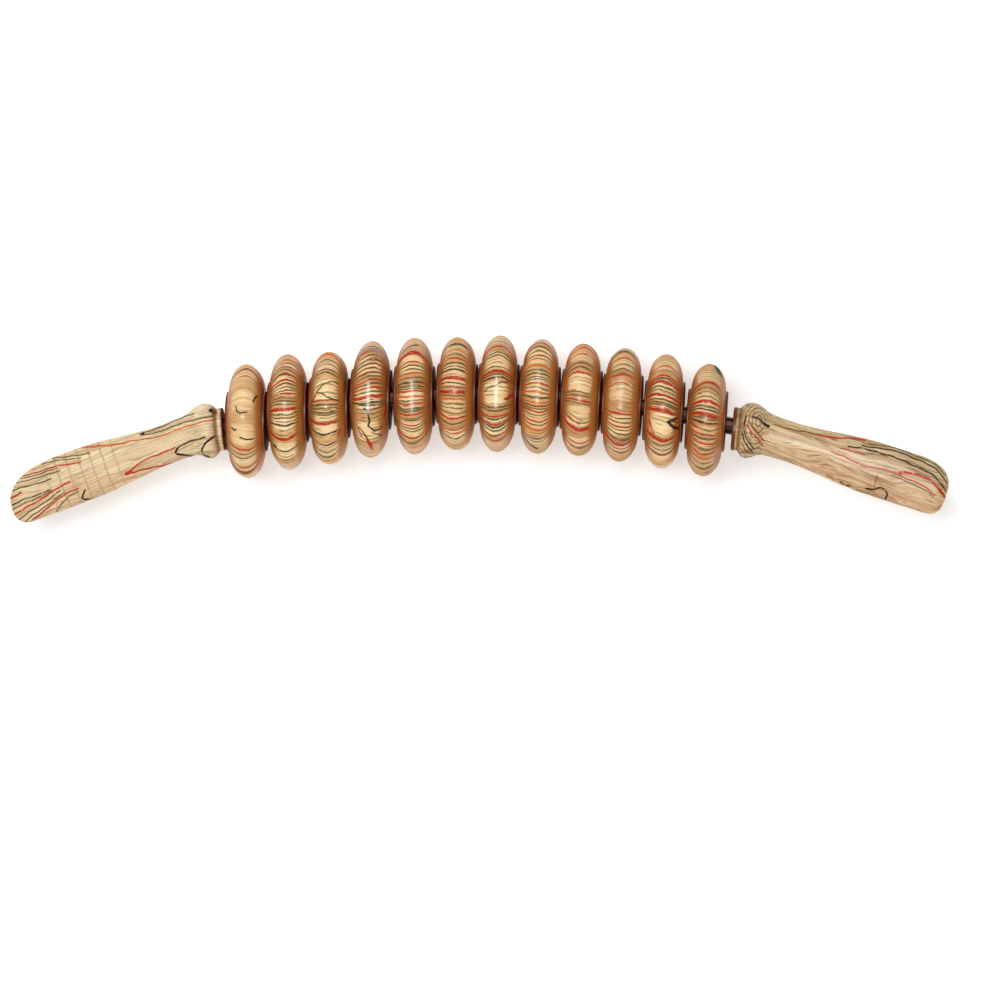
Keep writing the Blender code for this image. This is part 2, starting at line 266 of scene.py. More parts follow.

# How each wheel is turned (degrees), and what its wood shows. lines: layers, by their heights above the axis
# towards +Y (mm). tilt: how they slope at the bottom, lower middle, upper middle and top (degrees, rising
# to +X). arch: how much more they bend than straight across. facets: how pale the sanded flats stand out.
# sideShade: how strongly the side towards +X is painted plain brown, as painted shade away from the lamps.
# fine: how much of the faint thin layers shows.
# strokes: ends of layers, as colour, width and points (mm, mm).
wheelLooks = {
    "wheel_01": {
        "turned": 14, "body": "c0915c", "facets": 0.45, "sideShade": 0.25, "fine": 0.12,
        "arch": 0.0016, "tilt": (0, -12, 0, 10), "seed": 3,
        "lines": {"red": (-13.9, -22.6), "olive": (-16.0, -18.3), "brown": (-24.5, 24.6), "orange": (21.5,)},
        "strokes": (
            ("black", 0.75, ((-3.0, 7.0), (-2.3, 4.6), (-1.0, 3.4), (2.2, 4.0))),
            ("black", 0.8, ((-5.0, -3.6), (-4.0, -5.0), (-2.6, -4.4))),
            ("black", 0.85, ((-1.0, -8.2), (1.8, -9.3), (5.0, -9.9))),
            ("black", 0.7, ((5.0, 10.0), (5.6, 12.6), (6.4, 15.4))),
            ("red", 1.0, ((-8.2, 9.0), (-8.6, 3.0), (-8.4, -3.0), (-7.8, -8.0))),
        ),
    },
    "wheel_02": {
        "turned": 9, "body": "bd8146", "facets": 0.55, "sideShade": 0.9, "fine": 0.5,
        "arch": 0.0016, "tilt": (4, 3, 8, 12), "seed": 8,
        "lines": {"boldRed": (0.6, -12.8), "red": (21.0, 8.4, 14.6), "orange": (25.0,), "brown": (17.4,),
                  "olive": (23.2, 19.3, 13.0, 11.5, 10.0, 6.0, 4.6, 3.2, -1.8, -3.6),
                  "darkOlive": (-6.8, -19.4)},
        "strokes": (("black", 1.2, ((-5.2, -19.2), (-4.2, -20.4))),),
    },
    "wheel_03": {
        "turned": 18, "body": "c68f54", "facets": 0.85, "sideShade": 0.85, "fine": 0.45,
        "arch": 0.0016, "tilt": (10, 3, 2, 5), "seed": 5,
        "lines": {"boldRed": (-8.1,), "red": (3.2,), "orange": (24.8,), "brown": (17.6,),
                  "olive": (22.8, 20.6, 15.9, 1.0, -0.6, -3.9, -21.6, -23.6),
                  "darkOlive": (-2.5, -13.3, -17.9)},
        "strokes": (
            ("olive", 0.8, ((-6.4, 3.0), (-4.6, 7.4), (-1.6, 11.0), (2.4, 13.0), (5.6, 13.4))),
            ("darkOlive", 0.7, ((-3.8, 7.6), (-1.6, 6.6), (1.2, 4.6), (3.6, 4.0), (5.6, 3.8))),
            ("boldRed", 0.9, ((5.4, -15.6), (6.4, -13.2))),
        ),
    },
    "wheel_04": {
        "turned": 0, "body": "b97d47", "facets": 0.85, "sideShade": 0.3, "fine": 0.5,
        "arch": 0, "tilt": (-20, 0, 22, 18), "seed": 14,
        "lines": {"boldRed": (0.2,), "red": (22.4, 8.3, 4.6), "brown": (18.3, 16.3, 14.2, 12.2),
                  "olive": (20.2, 6.6, 2.4, 10.2), "darkOlive": (25.2, 23.8, -2.3)},
        "strokes": (
            ("black", 0.95, ((-1.4, -4.8), (0.2, -6.0), (1.2, -10.6), (0.6, -13.6), (3.0, -16.6),
                             (6.6, -18.0))),
            ("darkOlive", 0.6, ((0.2, -6.0), (3.2, -4.9), (6.8, -4.5))),
            ("darkOlive", 0.6, ((-5.0, -2.4), (-1.8, -3.6), (2.6, -3.4), (7.2, -3.0))),
            ("black", 0.7, ((-3.8, -15.4), (-1.2, -18.6), (0.6, -22.0))),
            ("darkOlive", 0.6, ((2.2, -17.6), (5.0, -20.6), (6.2, -23.0))),
            ("boldRed", 1.6, ((0.2, -22.2), (1.4, -25.0), (1.8, -30.0))),
            ("boldRed", 1.2, ((8.1, -3.0), (8.5, -7.0), (7.8, -11.0))),
            ("red", 0.8, ((-5.2, -14.2), (-3.8, -17.4), (-2.6, -20.6))),
        ),
    },
    "wheel_05": {
        "turned": 3, "body": "bb7f49", "facets": 0.45, "sideShade": 0.4, "fine": 0.35,
        "arch": 0.0012, "tilt": (2, 3, 6, 12), "seed": 21,
        "lines": {"boldRed": (19.7,), "red": (16.2, 1.8, -4.3, -9.3, -14.4, -20.4),
                  "orange": (10.6, -1.1, -24.9),
                  "olive": (14.2, 12.3, 8.4, 4.0, 2.9, -2.7, -6.6, -7.9, -11.8, -16.1, -17.6, -22.3),
                  "darkOlive": (5.9,)},
        "strokes": (("black", 2.0, ((-5.0, 26.0), (-1.4, 28.4), (1.6, 30.4))),),
    },
    "wheel_06": {
        "turned": 17, "body": "bb7f45", "facets": 0.5, "sideShade": 0.85, "fine": 0.35,
        "arch": 0.0012, "tilt": (0, 0, -4, 0), "seed": 34,
        "lines": {"boldRed": (7.2, 0.2), "red": (16.2, -12.4, -17.5), "orange": (20.6, -3.4, -19.6),
                  "olive": (18.2, 14.2, 12.7, 2.9, -1.5, -5.7, -7.6, -10.2, -14.8, -21.9),
                  "darkOlive": (11.0, 4.8), "black": (23.6,)},
        "strokes": (),
    },
    "wheel_07": {
        "turned": 0, "body": "b87b42", "facets": 0.75, "sideShade": 0.2, "fine": 0.4,
        "arch": 0.0016, "tilt": (4, 0, 4, 4), "seed": 41,
        "lines": {"boldRed": (10.1,), "red": (21.8, -12.0, -15.5, -22.3),
                  "olive": (24.9, 19.5, 18.0, 12.3, 8.5, -6.9, -8.5, -18.1, -20.2),
                  "darkOlive": (7.0, -16.7, -13.2)},
        "strokes": (
            ("darkOlive", 0.6, ((-5.4, 0.4), (-3.6, 2.6), (0.0, 3.6), (2.4, 5.2), (5.6, 6.0))),
            ("boldRed", 1.7, ((4.9, -3.0), (6.0, -2.3), (7.6, -1.0))),
        ),
    },
    "wheel_08": {
        "turned": -10, "body": "c08a50", "facets": 0.35, "sideShade": 0.8, "fine": 0.4,
        "arch": 0.0012, "tilt": (0, -4, -2, 0), "seed": 55,
        "lines": {"boldRed": (24.9,), "red": (19.2, 5.5, -8.0, -12.7), "orange": (14.1, 1.2, -3.2, -16.5),
                  "brown": (-4.9,), "olive": (23.0, 21.4, 17.6, 12.1, 10.4, 8.6, 7.6, 3.4, -1.0, -6.4,
                                              -9.5, -14.3, -20.4, -22.0)},
        "strokes": (("black", 1.8, ((-5.4, -27.6), (-3.0, -30.2), (0.0, -32.0))),),
    },
    "wheel_09": {
        "turned": 18, "body": "ae6f38", "facets": 0.65, "sideShade": 0.9, "fine": 0.3,
        "arch": 0.0012, "tilt": (-14, -18, 2, 8), "seed": 62,
        "lines": {"red": (-0.9, 12.6, -21.2), "boldRed": (-14.1,), "orange": (24.2, 21.9),
                  "brown": (16.5, -23.2), "olive": (14.5, 1.6, -2.4, -11.2, 3.1)},
        "strokes": (
            ("red", 0.6, ((-7.0, -7.4), (-4.0, -9.6), (0.6, -12.4))),
            ("olive", 0.5, ((-6.6, -5.6), (-2.6, -8.2), (2.0, -10.8))),
            ("red", 0.5, ((-7.0, 3.4), (-4.4, 4.2), (-1.6, 4.4))),
        ),
    },
    "wheel_10": {
        "turned": -13, "body": "aa6c36", "facets": 0.5, "sideShade": 0.9, "fine": 0.3,
        "arch": 0.0012, "tilt": (-8, -16, 2, 6), "seed": 77,
        "lines": {"red": (-4.9, -11.2, 13.6), "boldRed": (-19.0,), "orange": (22.0,), "brown": (-23.4,),
                  "olive": (24.5, 18.6, 16.2, -7.3, -9.2, -12.9, -14.8, -16.7, -21.3)},
        "strokes": (("red", 0.7, ((-6.0, 9.2), (-3.0, 10.0), (0.0, 10.4), (3.0, 9.8))),),
    },
    "wheel_11": {
        "turned": 14, "body": "c0874c", "facets": 0.7, "sideShade": 0.3, "fine": 0.4,
        "arch": 0.0012, "tilt": (-4, -8, -14, 4), "seed": 81,
        "lines": {"boldRed": (13.4, 7.3, -0.2, -14.0), "red": (16.0,), "orange": (21.4,), "brown": (-21.2,),
                  "olive": (18.8, 14.8, 11.3, 9.6, 5.0, 3.3, 2.1, -16.6, -18.8)},
        "strokes": (
            ("black", 1.4, ((6.8, -4.0), (2.9, -5.5), (7.4, -11.0))),
            ("darkOlive", 0.6, ((5.0, -5.2), (7.4, -7.0))),
            ("red", 0.8, ((-6.0, -5.6), (-5.0, -9.4), (-3.2, -12.2))),
        ),
    },
    "wheel_12": {
        "turned": 18, "body": "ae723c", "facets": 0.2, "sideShade": 0.35, "fine": 0.45,
        "arch": 0.0016, "tilt": (-4, -10, -6, 6), "seed": 93,
        "lines": {"boldRed": (17.2, 8.6, 2.0), "red": (-7.8, -11.8, -16.1), "orange": (-18.8,),
                  "olive": (14.9, 12.9, 10.9, 6.3, 0.1, -4.7, -9.8, -14.1, -21.2, -23.5),
                  "darkOlive": (4.6, -1.7)},
        "strokes": (
            ("black", 3.2, ((2.9, 34.6), (3.8, 32.8), (4.6, 30.8))),
            ("red", 0.8, ((-6.8, -2.0), (-4.8, -3.4), (-3.0, -4.2))),
        ),
    },
}


# Closed section of a wheel, from the bore round to the bore: x along the axis, the radius, and how far each
# point follows the ten-sided tread (-1: not at all, it stays round). The rim is a superellipse, |x/half|^p +
# |(r-root)/depth|^p = 1.
def wheelSection(shape, steps):
    t = np.linspace(0.0, pi, steps)
    power = 2 / shape["rimSquareness"]
    rimX = shape["rimHalf"] * np.sign(np.cos(t)) * np.abs(np.cos(t)) ** power
    lift = np.sin(t) ** power
    chamfer = shape["hubChamfer"]
    arc = np.linspace(0.0, pi / 2, 5)
    hubX = shape["hubHalf"] - chamfer * (1 - np.cos(arc))
    hubR = shape["hub"] - chamfer * (1 - np.sin(arc))
    boreX = shape["hubHalf"] - shape["boreChamfer"] * (1 - np.cos(arc[::-1]))
    boreR = shape["bore"] + shape["boreChamfer"] * (1 - np.sin(arc[::-1]))
    sideX = np.concatenate([boreX, hubX, [shape["rimHalf"] + 0.25]])
    sideR = np.concatenate([boreR, hubR, [shape["hub"]]])
    x = np.concatenate([sideX, rimX, -sideX[::-1]])
    lifts = np.concatenate([np.full(len(sideX), -1.0), lift, np.full(len(sideX), -1.0)])
    radius = np.concatenate([sideR, np.full(steps, shape["rimRoot"]), sideR[::-1]])
    return x, radius, lifts


# Ten flats with slightly rounded ridges: the flat's distance over the p-norm of the cosines to the flats.
def treadRadius(angle, shape):
    flats = np.arange(shape["sides"]) * 2 * pi / shape["sides"]
    cosines = np.clip(np.cos(angle[:, None] - flats), 0.0, None)
    p = shape["ridgeSharpness"]
    return shape["ridge"] * cos(pi / shape["sides"]) / (cosines ** p).sum(1) ** (1 / p)


# Section (x, r) turned about the wheel's own axis: centre + x*axis + r*(sin a * across + cos a * up),
# where the rim's r is root + (tread(a) - root) * lift.
def makeWheelMesh(name, joint, looks, shape):
    x, radius, lifts = wheelSection(shape, shape["stepsAcross"])
    angle = np.arange(shape["stepsAround"]) * 2 * pi / shape["stepsAround"] - radians(looks["turned"])
    tread = treadRadius(angle + radians(looks["turned"]), shape)
    rim = shape["rimRoot"] + (tread - shape["rimRoot"]) * lifts[:, None]
    r = np.where(lifts[:, None] < 0, radius[:, None], rim)
    axis = np.array(joint["axis"])
    up = np.array((0.0, 0.0, 1.0))
    across = np.cross(up, axis)
    local = np.stack([np.broadcast_to(x[:, None], r.shape), r * np.sin(angle), r * np.cos(angle)], axis=-1)
    turned = local[..., :1] * axis + local[..., 1:2] * across + local[..., 2:] * up
    points = np.array(joint["pos_m"]) + mm * turned
    return surfaceMesh(name, points, local, "wheelPlace", closedRows=True)


# Layered wood on one wheel. Lines lie at heights h (mm) on the front, where the surface turns through
# asin(h / tread radius); they run across the tread and on down the flanks at that turn.
def makeWheelWood(name, looks, shape, tones):
    material, tree, shader = newMaterial(f"layeredWood_{name}")
    place, x, y, z = readPlace(tree, "wheelPlace")
    seeded = vec(tree, "ADD", place, (looks["seed"] * 7.3, looks["seed"] * 3.1, looks["seed"] * 5.7))
    tread = shape["tread"]
    flatAngle = 360 / shape["sides"]
    degreesPerMm = degrees(1 / tread)
    radial = calc(tree, "SQRT", calc(tree, "ADD", calc(tree, "MULTIPLY", y, y), calc(tree, "MULTIPLY", z, z)))
    ratio = calc(tree, "MULTIPLY", calc(tree, "DIVIDE", y, radial), 0.9999)
    turn = calc(tree, "MULTIPLY", calc(tree, "ARCSINE", ratio), degrees(1))

    # slope, arch and wander of the lines
    slope = tree.nodes.new("ShaderNodeValToRGB")
    slope.color_ramp.interpolation = "B_SPLINE"
    steps = slope.color_ramp.elements
    steps.remove(steps[1])
    for i, (at, tilt) in enumerate(zip((-70, -22, 22, 70), looks["tilt"])):
        grey = 0.5 + tan(radians(tilt)) / 2
        step = steps[0] if i == 0 else steps.new((at + 90) / 180)
        step.position = (at + 90) / 180
        step.color = (grey, grey, grey, 1.0)
    tree.links.new(calc(tree, "MULTIPLY_ADD", turn, 1 / 180, 0.5), slope.inputs[0])
    rise = calc(tree, "MULTIPLY_ADD", slope.outputs[0], 2 * degreesPerMm, -degreesPerMm)
    xSquared = calc(tree, "MULTIPLY", x, x)
    bent = calc(tree, "MULTIPLY", turn, calc(tree, "MULTIPLY_ADD", xSquared, looks["arch"], 1.0))
    sloped = calc(tree, "MULTIPLY_ADD", calc(tree, "MULTIPLY", x, rise), -1.0, bent)
    slow = noise(tree, vec(tree, "MULTIPLY", seeded, (0.11, 0.13, 0.13)), 1.0, 1.0)
    quick = noise(tree, vec(tree, "MULTIPLY", seeded, (0.4, 0.3, 0.3)), 1.0, 1.0)
    ragged = noise(tree, seeded, 2.1, 3.0, 0.6)
    wander = calc(tree, "MULTIPLY_ADD", slow, 4.6, calc(tree, "MULTIPLY_ADD", quick, 1.8,
                  calc(tree, "MULTIPLY_ADD", ragged, 0.7, -3.55)))
    layered = calc(tree, "ADD", sloped, wander)
    position = calc(tree, "MULTIPLY_ADD", layered, 1 / 180, 0.5)

    # base: browner ridges, pale sanded flats, soft tints from layer to layer; flanks painted browner, partly
    # end grain and partly painted shade between the wheels; the side towards +X painted brown as painted
    # shade
    aroundFlat = calc(tree, "ADD", calc(tree, "MULTIPLY", calc(tree, "ARCTAN2", y, z), degrees(1)),
                      looks["turned"] + flatAngle / 2 + 720)
    fromFlat = calc(tree, "SUBTRACT", calc(tree, "MODULO", aroundFlat, flatAngle), flatAngle / 2)
    halfAngle, halfWidth = tones["patch"]
    overFlat = calc(tree, "POWER", calc(tree, "ABSOLUTE", calc(tree, "DIVIDE", fromFlat, halfAngle)), 4)
    ragX = calc(tree, "MULTIPLY_ADD", quick, 1.4, calc(tree, "SUBTRACT", x, 0.7))
    overWide = calc(tree, "POWER", calc(tree, "ABSOLUTE", calc(tree, "DIVIDE", ragX, halfWidth)), 4)
    patch = between(tree, calc(tree, "ADD", overFlat, overWide), 1.25, 0.8)
    which = tree.nodes.new("ShaderNodeTexWhiteNoise")
    which.noise_dimensions = "1D"
    tree.links.new(calc(tree, "ADD", calc(tree, "FLOOR", calc(tree, "DIVIDE", aroundFlat, flatAngle)),
                        looks["seed"] + 0.5), which.inputs["W"])
    patchStrength = calc(tree, "MULTIPLY", patch, calc(tree, "MULTIPLY_ADD", which.outputs[0], 0.5,
                         looks["facets"]), clamp=True)
    patchStrength = calc(tree, "MULTIPLY", patchStrength,
                         between(tree, calc(tree, "ABSOLUTE", turn), 68.0, 48.0, 0.35, 1.0))
    tintCell = noise(tree, combine(tree, calc(tree, "MULTIPLY", x, 0.02),
                                   calc(tree, "MULTIPLY", layered, 0.16), looks["seed"]), 1.0, 3.0, 0.7)
    tints = tree.nodes.new("ShaderNodeValToRGB")
    tintSteps = tints.color_ramp.elements
    tintSteps[0].position, tintSteps[1].position = 0.3, 0.72
    body = linear(looks["body"])
    tintSteps[0].color = (body[0] * 0.84, body[1] * 0.76, body[2] * 0.66, 1.0)
    tintSteps[1].color = (body[0] * 1.12, body[1] * 1.18, body[2] * 1.25, 1.0)
    middle = tintSteps.new(0.5)
    middle.color = (*body, 1.0)
    tree.links.new(tintCell, tints.inputs[0])
    treadFace = between(tree, calc(tree, "ABSOLUTE", x), 7.4, 5.4)
    deeper, paler = (linear(tone) for tone in tones["flat"])
    cream = mix(tree, between(tree, tintCell, 0.35, 0.65), deeper, paler)
    base = mix(tree, calc(tree, "MULTIPLY", treadFace, 0.25), tints.outputs[0], cream)
    base = mix(tree, patchStrength, base, cream)
    # painted shade: the flanks turn browner towards the hub, partly end grain, partly the shade between
    # wheels
    flank = between(tree, radial, 25.5, 20.5)
    base = mix(tree, calc(tree, "MULTIPLY", flank, 0.8), base, linear(tones["flank"]))
    # painted shade: the side towards +X is painted plain brown, away from the lamps
    paintedSideShade = calc(tree, "MULTIPLY", between(tree, ragX, 4.4, 6.2), looks["sideShade"])
    base = mix(tree, paintedSideShade, base, linear(tones["paintedSideShade"]))

    # faint thin layers between the strong ones
    pitch = tones["faintPitch"]
    within = calc(tree, "MULTIPLY", calc(tree, "FRACT", calc(tree, "MULTIPLY", layered, 1 / pitch)), pitch)
    thin = between(tree, calc(tree, "ABSOLUTE", calc(tree, "SUBTRACT", within, pitch / 2)), 0.95, 0.5)
    shown = between(tree, noise(tree, vec(tree, "MULTIPLY", seeded, (0.1, 0.22, 0.22)), 1.0, 2.0), 0.4, 0.55)
    thinMask = calc(tree, "MULTIPLY", calc(tree, "MULTIPLY", thin, shown), min(looks["fine"] * 1.7, 0.9))
    base = mix(tree, thinMask, base, linear(tones["faintLayer"]))

    # strong layers
    lines = []
    for colourName, heights in looks["lines"].items():
        hexColour, width = layerColours[colourName]
        for height in heights:
            at = degrees(asin(max(min(height / tread, 0.97), -0.97)))
            lines.append((at, width * degreesPerMm / cos(radians(at)) ** 0.8, linear(hexColour)))
    gaps = noise(tree, vec(tree, "MULTIPLY", seeded, (0.55, 0.9, 0.9)), 1.0, 2.0)
    broken = between(tree, gaps, 0.3, 0.37, 0.35, 1.0)
    onTread = calc(tree, "MULTIPLY", broken, between(tree, calc(tree, "ABSOLUTE", x), 9.0, 5.8, 0.35, 0.95))
    # layer lines fade where the +X side is painted brown as shade
    onTread = calc(tree, "MULTIPLY", onTread, calc(tree, "MULTIPLY_ADD", paintedSideShade, -1.0, 1.0))
    for colour, alpha in layerStripes(tree, position, -90, 90, lines):
        base = mix(tree, calc(tree, "MULTIPLY", alpha, onTread), base, colour)

    # ends and turns of layers
    facing = between(tree, z, -2.0, 4.0)
    unevenX = calc(tree, "MULTIPLY_ADD", quick, 1.0, calc(tree, "SUBTRACT", x, 0.5))
    arcLength = calc(tree, "MULTIPLY_ADD", turn, radians(1) * tread,
                     calc(tree, "MULTIPLY_ADD", ragged, 0.8, -0.4))
    flatPlace = combine(tree, unevenX, arcLength, 0.0)
    for colourName, width, points in looks["strokes"]:
        mask = calc(tree, "MULTIPLY", strokeMask(tree, flatPlace, points, width), facing)
        base = mix(tree, calc(tree, "MULTIPLY", mask, 0.95), base, linear(layerColours[colourName][0]))

    # painted shade between the wheels: the hubs are painted browner, and their end faces and the bore dark
    # red, with a thinner coat there
    base = mix(tree, between(tree, radial, 17.5, 14.6, 0.0, 0.8), base, linear(tones["hub"]))
    endFace = between(tree, calc(tree, "ABSOLUTE", x), 8.5, 9.0)
    paintedGapShade = calc(tree, "MAXIMUM", endFace, between(tree, radial, 8.0, 7.4))
    base = mix(tree, paintedGapShade, base, linear(tones["darkestTone"]))

    # fibre: short streaks that run across the tread
    fibre = noise(tree, vec(tree, "MULTIPLY", seeded, (0.5, 3.6, 3.6)), 1.0, 4.0, 0.65)
    streak = between(tree, fibre, 0.3, 0.7, 0.86, 1.08)
    base = mix(tree, 1.0, base, combine(tree, streak, streak, streak), "MULTIPLY")
    shine = calc(tree, "MULTIPLY_ADD", fibre, 0.2, 0.34)
    lacquer(tree, shader, base, fibre, shine, calc(tree, "MULTIPLY_ADD", paintedGapShade, -0.45, 0.5))
    return material


for name, looks in wheelLooks.items():
    joint = next(j for j in frame["joints"] if j["child"] == name)
    mesh = makeWheelMesh(f"turned_{name}", joint, looks, wheelShape)
    wood = makeWheelWood(name, looks, wheelShape, wheelTones)
    addPiece(f"turned_{name}", mesh, wood, name, name)
print("wheels made:", len(wheelLooks))


handleShape = {
    "collar": ((0.0, 9.6), (0.4, 10.1), (2.2, 10.1), (3.0, 9.8), (3.8, 10.9), (5.6, 12.6), (8.2, 13.3),
               (11.2, 12.4), (14.0, 10.7), (17.0, 9.7), (24.0, 9.4)),
    "neck": 9.4, "gripStart": 27.0, "gripFull": 70.0, "gripHalf": 12.6, "spineCurve": 21.0, "squareness": 2.4,
    "bore": 4.3, "boreDepth": 42.0, "stepsAround": 224,
}
handleForms = {
    "left_handle": {
        "side": -1, "face": (-119.3, -16.5), "collarLean": 5.0, "gripLean": 20.0, "length": 107.78,
        "tipOffset": -4.7, "convex": (77.0, 2.4), "concave": (100.0, 2.2), "gripDepth": 8.6, "tipDepth": 4.2,
    },
    "right_handle": {
        "side": 1, "face": (119.2, -16.5), "collarLean": 5.0, "gripLean": 17.8, "length": 104.86,
        "tipOffset": -1.5, "convex": (84.0, 2.8), "concave": (94.0, 3.4), "gripDepth": 9.0, "tipDepth": 7.0,
    },
}
rodForm = {"arcMiddle": (0.24, 16.43), "bend": 466.0, "endAngle": 14.72, "height": 27.7}

handleTones = {
    "pinkCast": "d3a883", "grain": "8a6741", "dash": "a8603f", "mark": "ab8a62", "whorl": "5f4020",
    "cove": "7a4a22", "face": "6a3416", "markPitch": 5.6, "whorlPitch": 1.5,
}

# What each handle's wood shows. darker, paler: its two body tones. grain, dashes, marks, whorl: how strong
# the dark grain, the reddish flecks, the growth marks across the grip and the rings on the collar are.
# faceShadeReach: how far along the end disc the painted shade on its face reaches (mm). lines: layers,
# as colour, width and points (mm along the handle, mm across it towards the outer side of the bend).
handleLooks = {
    "left_handle": {
        "seed": 11, "darker": "c5a57c", "paler": "dfcea8", "grain": 0.5,
        "faceShadeReach": 1.2, "marks": 1.5, "whorl": 0.0, "dashes": 0.2,
        "lines": (
            ("orange", 0.5, ((3.2, 4.5), (16.1, 4.1), (24.9, 4.0), (33.7, 4.7), (44.1, 6.7), (55.3, 8.8),
                             (66.2, 11.8))),
            ("red", 0.6, ((44.1, 6.7), (55.3, 8.8), (66.2, 11.8))),
            ("darkOlive", 0.45, ((11.5, 9.3), (23.4, 8.3), (32.9, 8.6), (38.2, 8.1))),
            ("darkOlive", 0.4, ((38.2, 8.1), (33.7, 6.8), (24.2, 6.2), (12.1, 6.2), (3.7, 6.3))),
            ("black", 0.9, ((36.4, 8.2), (38.2, 8.1), (36.6, 7.6))),
            ("red", 0.6, ((49.9, -6.6), (40.6, -4.1), (31.3, -3.4), (24.5, -3.3))),
            ("red", 0.65, ((49.9, -7.0), (42.0, -8.1), (33.3, -8.9), (24.6, -9.6))),
            ("red", 1.5, ((50.4, -6.9), (48.0, -6.7))),
            ("black", 0.8, ((4.0, -3.2), (8.1, -5.1), (12.6, -8.2), (12.4, -10.4), (8.8, -12.3))),
            ("darkOlive", 0.6, ((8.5, -2.9), (18.5, -3.2), (23.4, -4.1), (25.4, -5.6))),
            ("black", 0.8, ((23.4, -4.3), (25.4, -5.6), (23.8, -7.4), (17.8, -10.0))),
            ("black", 1.5, ((4.7, 9.3), (2.9, 7.7))),
            ("black", 0.7, ((71.2, -7.4), (74.1, -10.0), (73.4, -11.3), (70.9, -11.9))),
            ("red", 0.6, ((97.2, 9.0), (89.1, 8.4), (78.3, 7.3), (68.4, 5.6))),
            ("olive", 0.45, ((99.0, 8.1), (89.5, 7.3), (80.1, 6.5))),
            ("olive", 0.45, ((101.0, 6.6), (90.0, 6.0), (79.3, 4.7))),
            ("darkOlive", 0.45, ((104.2, 4.0), (94.6, 3.6), (84.4, 2.8))),
            ("red", 0.9, ((105.9, 0.9), (100.6, 1.6))),
            ("darkOlive", 0.55, ((106.5, -2.2), (96.6, -1.7), (86.9, -1.5))),
            ("olive", 0.5, ((107.2, -4.2), (97.2, -3.4), (86.3, -2.3))),
            ("red", 0.7, ((107.4, -6.8), (97.9, -5.4), (87.3, -2.9), (76.3, -1.6))),
            ("darkOlive", 0.45, ((106.7, -10.0), (94.7, -6.9), (82.4, -3.9))),
            ("olive", 0.5, ((104.0, -11.8), (91.3, -7.8), (80.6, -5.3))),
            ("red", 0.6, ((99.9, -12.3), (89.2, -8.2), (81.0, -6.3), (74.0, -5.5))),
            ("olive", 0.45, ((88.0, -12.0), (81.9, -8.6), (74.5, -6.8))),
            ("olive", 0.45, ((81.2, 11.7), (71.4, 9.9), (63.2, 7.7))),
            ("olive", 0.4, ((86.7, 11.1), (77.4, 9.8), (67.7, 7.6))),
        ),
    },
    "right_handle": {
        "seed": 19, "darker": "b08f68", "paler": "d3bd94", "grain": 0.85,
        "faceShadeReach": 2.3, "marks": 0.2, "whorl": 1.0, "dashes": 0.8,
        "lines": (
            ("brown", 0.45, ((18.3, 5.2), (29.3, 5.9), (38.9, 6.9))),
            ("red", 0.7, ((38.9, 6.9), (46.3, 8.1), (56.2, 10.3), (60.9, 11.3))),
            ("red", 0.65, ((47.7, 1.6), (55.8, 0.6), (62.5, -0.4), (69.3, 0.4), (74.1, 0.9), (80.6, 0.5),
                           (90.6, 0.2),
                           (99.5, -3.3))),
            ("red", 0.5, ((51.1, 4.2), (55.4, 4.2), (62.9, 4.9))),
            ("darkOlive", 0.7, ((54.2, 5.8), (64.0, 8.1), (71.2, 7.7), (81.8, 7.6), (91.3, 6.7),
                                (98.4, 4.4), (103.9, 0.5))),
            ("boldRed", 1.1, ((80.9, 0.9), (81.2, 2.4), (86.0, 3.6), (93.8, 3.3), (98.8, 1.0),
                              (104.5, -2.4))),
            ("darkOlive", 0.5, ((60.3, 8.5), (70.2, 10.3), (80.6, 10.9), (91.5, 10.0), (99.5, 7.2),
                                (103.2, 3.8))),
            ("olive", 0.45, ((62.9, 10.6), (73.0, 12.0), (83.6, 12.1), (94.7, 10.9), (101.3, 7.2))),
            ("olive", 0.5, ((77.4, -0.8), (82.9, -0.7), (90.4, -1.3), (99.1, -4.2))),
            ("black", 0.7, ((68.0, -9.9), (72.4, -9.2), (74.6, -7.4), (78.7, -9.0), (78.2, -11.9))),
            ("brown", 0.5, ((71.3, -2.5), (71.5, -7.4))),
            ("black", 0.6, ((55.9, -10.9), (57.6, -11.1))),
            ("black", 0.6, ((59.0, -11.4), (60.3, -11.5))),
            ("black", 1.2, ((14.1, 4.1), (16.1, 3.7))),
            ("red", 0.55, ((6.4, 2.7), (9.8, -1.5), (15.8, -5.3))),
            ("brown", 0.5, ((7.1, 4.5), (10.9, 0.1), (16.1, -3.5))),
            ("darkOlive", 0.5, ((5.9, 6.4), (5.1, 2.5), (6.6, -3.4), (12.2, -8.6))),
            ("darkOlive", 0.6, ((8.2, 6.6), (10.4, 6.3), (12.6, 5.0), (14.6, 4.0))),
            ("darkOlive", 0.5, ((4.9, -1.6), (7.0, -6.1), (11.8, -10.1))),
        ),
    },
}


# offset + (half - offset) * (1 - u^p)^(1/p), with u from 0 where the corner starts to 1 at the tip.
def roundedEdge(s, half, corner, length, offset):
    start, p = corner
    u = np.clip((s - start) / (length - start), 0.0, 1.0)
    return offset + (half - offset) * (1 - u ** p) ** (1 / p)


